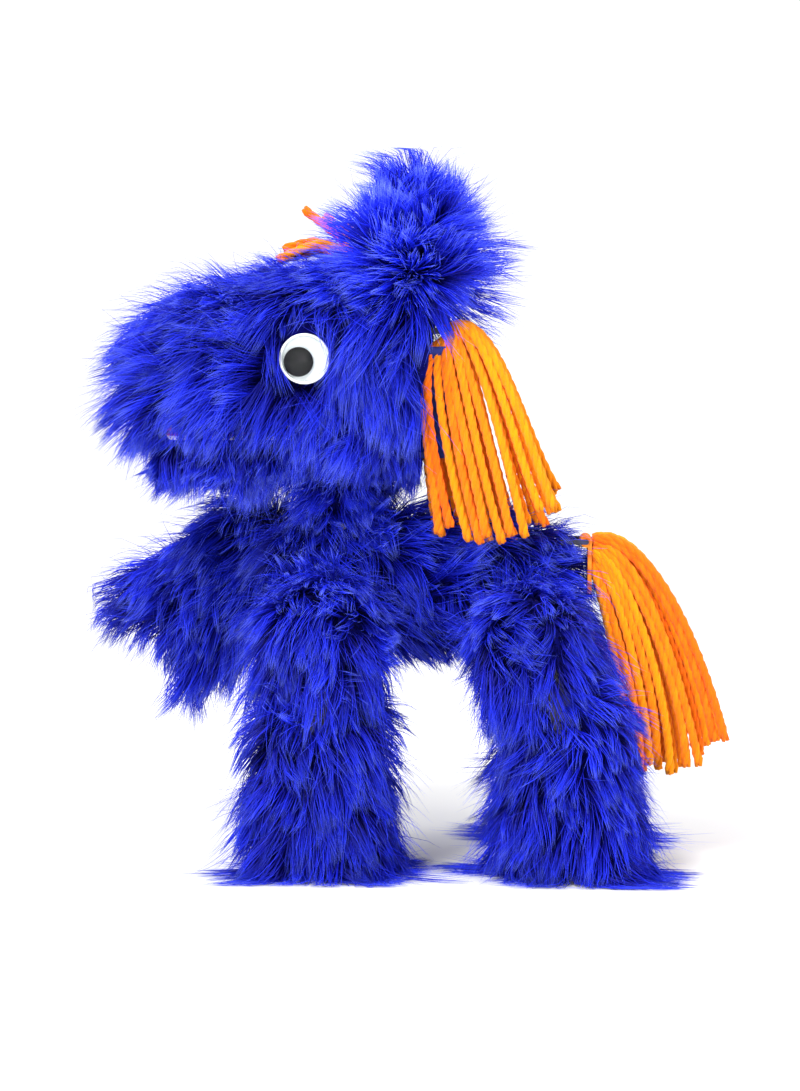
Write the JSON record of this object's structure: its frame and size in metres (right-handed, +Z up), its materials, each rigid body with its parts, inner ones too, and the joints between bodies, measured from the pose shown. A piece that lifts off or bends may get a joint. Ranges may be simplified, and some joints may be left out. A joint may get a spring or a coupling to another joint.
{
  "type": "moving mouth puppet",
  "caption": "Furry four-legged pony puppet with a hand-worked hinged mouth, swinging jointed legs, nodding and turning head, yarn mane and tail.",
  "frame": {"origin": "on the floor under the middle of the whole puppet, half-way between its left and right sides", "axes": "+Z up, -X towards the muzzle, -Y the animal's left"},
  "size_m": [0.304, 0.1536, 0.338],
  "materials": {
    "blue_fur": "long-pile acrylic fur fabric",
    "foam": "open-cell upholstery foam",
    "yarn": "plied acrylic yarn",
    "binding": "stitched cotton tape",
    "felt": "wool-blend felt",
    "board": "stiff polypropylene sheet",
    "cord": "waxed nylon cord and webbing, dyed navy",
    "steel": "spring wire",
    "peg": "moulded nylon, dyed navy",
    "lining": "brushed cotton lining",
    "pellets": "calico bag of pellets",
    "eye_white": "moulded styrene",
    "eye_black": "moulded styrene disc",
    "eye_clear": "clear styrene dome"
  },
  "bodies": {
    "torso": {"torso_fur": "blue_fur", "torso_foam": "foam", "shoulder_cord": "cord", "shoulder_buttons": "peg", "hip_cord": "cord", "hip_buttons": "peg", "neck_cord": "cord", "tail_loop": "cord"},
    "neck": {"neck_fur": "blue_fur", "neck_foam": "foam", "swivel_peg": "peg"},
    "head": {"head_fur": "blue_fur", "head_foam": "foam", "hand_sleeve": "lining", "palate_board": "board", "palate_felt": "felt", "mouth_wire": "steel", "left_eye_back": "eye_white", "left_eye_dome": "eye_clear", "right_eye_back": "eye_white", "right_eye_dome": "eye_clear", "left_ear": "blue_fur", "right_ear": "blue_fur", "forelock_yarn": "yarn", "mane_loop": "cord"},
    "jaw": {"jaw_fur": "blue_fur", "jaw_foam": "foam", "tongue_board": "board", "tongue_felt": "felt"},
    "left_pupil": {"left_pupil": "eye_black"},
    "right_pupil": {"right_pupil": "eye_black"},
    "mane": {"mane_binding": "binding", "mane_yarn": "yarn"},
    "tail": {"tail_binding": "binding", "tail_yarn": "yarn"},
    "left_fore_upper": {"left_fore_upper_fur": "blue_fur", "left_fore_upper_foam": "foam", "left_fore_knee_link": "cord"},
    "left_fore_lower": {"left_fore_lower_fur": "blue_fur", "left_fore_lower_foam": "foam", "left_fore_pellet_bag": "pellets"},
    "right_fore_upper": {"right_fore_upper_fur": "blue_fur", "right_fore_upper_foam": "foam", "right_fore_knee_link": "cord"},
    "right_fore_lower": {"right_fore_lower_fur": "blue_fur", "right_fore_lower_foam": "foam", "right_fore_pellet_bag": "pellets"},
    "left_hind_upper": {"left_hind_upper_fur": "blue_fur", "left_hind_upper_foam": "foam", "left_hind_knee_link": "cord"},
    "left_hind_lower": {"left_hind_lower_fur": "blue_fur", "left_hind_lower_foam": "foam", "left_hind_pellet_bag": "pellets"},
    "right_hind_upper": {"right_hind_upper_fur": "blue_fur", "right_hind_upper_foam": "foam", "right_hind_knee_link": "cord"},
    "right_hind_lower": {"right_hind_lower_fur": "blue_fur", "right_hind_lower_foam": "foam", "right_hind_pellet_bag": "pellets"}
  },
  "joints": [
    {"name": "neck_nod", "type": "hinge", "parent": "torso", "child": "neck", "pos_m": [-0.03, 0, 0.17], "axis": [0, -1, 0], "range_deg": [-15, 8], "deforming": ["mane_yarn"]},
    {"name": "head_turn", "type": "hinge", "parent": "neck", "child": "head", "pos_m": [-0.03, 0, 0.1975], "axis": [0, 0, 1], "range_deg": [-30, 30]},
    {"name": "jaw_open", "type": "hinge", "parent": "head", "child": "jaw", "pos_m": [-0.053, 0, 0.218], "axis": [0, 1, 0], "range_deg": [-25, 0]},
    {"name": "left_pupil_roll", "type": "hinge", "parent": "head", "child": "left_pupil", "pos_m": [-0.047, -0.0506, 0.254], "axis": [0, 1, 0], "continuous": true},
    {"name": "right_pupil_roll", "type": "hinge", "parent": "head", "child": "right_pupil", "pos_m": [-0.047, 0.0506, 0.254], "axis": [0, 1, 0], "continuous": true},
    {"name": "mane_lift", "type": "hinge", "parent": "head", "child": "mane", "pos_m": [0.022, 0, 0.268], "axis": [0, -1, 0], "range_deg": [0, 80]},
    {"name": "tail_swing", "type": "hinge", "parent": "torso", "child": "tail", "pos_m": [0.092, 0, 0.162], "axis": [0, -1, 0], "range_deg": [0, 60]},
    {"name": "left_fore_shoulder", "type": "hinge", "parent": "torso", "child": "left_fore_upper", "pos_m": [-0.039, -0.0508, 0.118], "axis": [0, 1, 0], "range_deg": [-5, 100]},
    {"name": "left_fore_knee", "type": "hinge", "parent": "left_fore_upper", "child": "left_fore_lower", "pos_m": [-0.039, -0.0508, 0.068], "axis": [0, 1, 0], "range_deg": [-82, 0]},
    {"name": "right_fore_shoulder", "type": "hinge", "parent": "torso", "child": "right_fore_upper", "pos_m": [-0.039, 0.0508, 0.118], "axis": [0, 1, 0], "range_deg": [-135, 0]},
    {"name": "right_fore_knee", "type": "hinge", "parent": "right_fore_upper", "child": "right_fore_lower", "pos_m": [-0.0773, 0.0508, 0.15014], "axis": [0, 1, 0], "range_deg": [-4, 36]},
    {"name": "left_hind_hip", "type": "hinge", "parent": "torso", "child": "left_hind_upper", "pos_m": [0.066, -0.0508, 0.11436], "axis": [0, 1, 0], "range_deg": [-14, 22]},
    {"name": "left_hind_knee", "type": "hinge", "parent": "left_hind_upper", "child": "left_hind_lower", "pos_m": [0.08473, -0.0508, 0.068], "axis": [0, 1, 0], "range_deg": [-46, 8]},
    {"name": "right_hind_hip", "type": "hinge", "parent": "torso", "child": "right_hind_upper", "pos_m": [0.066, 0.0508, 0.11436], "axis": [0, 1, 0], "range_deg": [-14, 22]},
    {"name": "right_hind_knee", "type": "hinge", "parent": "right_hind_upper", "child": "right_hind_lower", "pos_m": [0.08473, 0.0508, 0.068], "axis": [0, 1, 0], "range_deg": [-46, 8]}
  ]
}
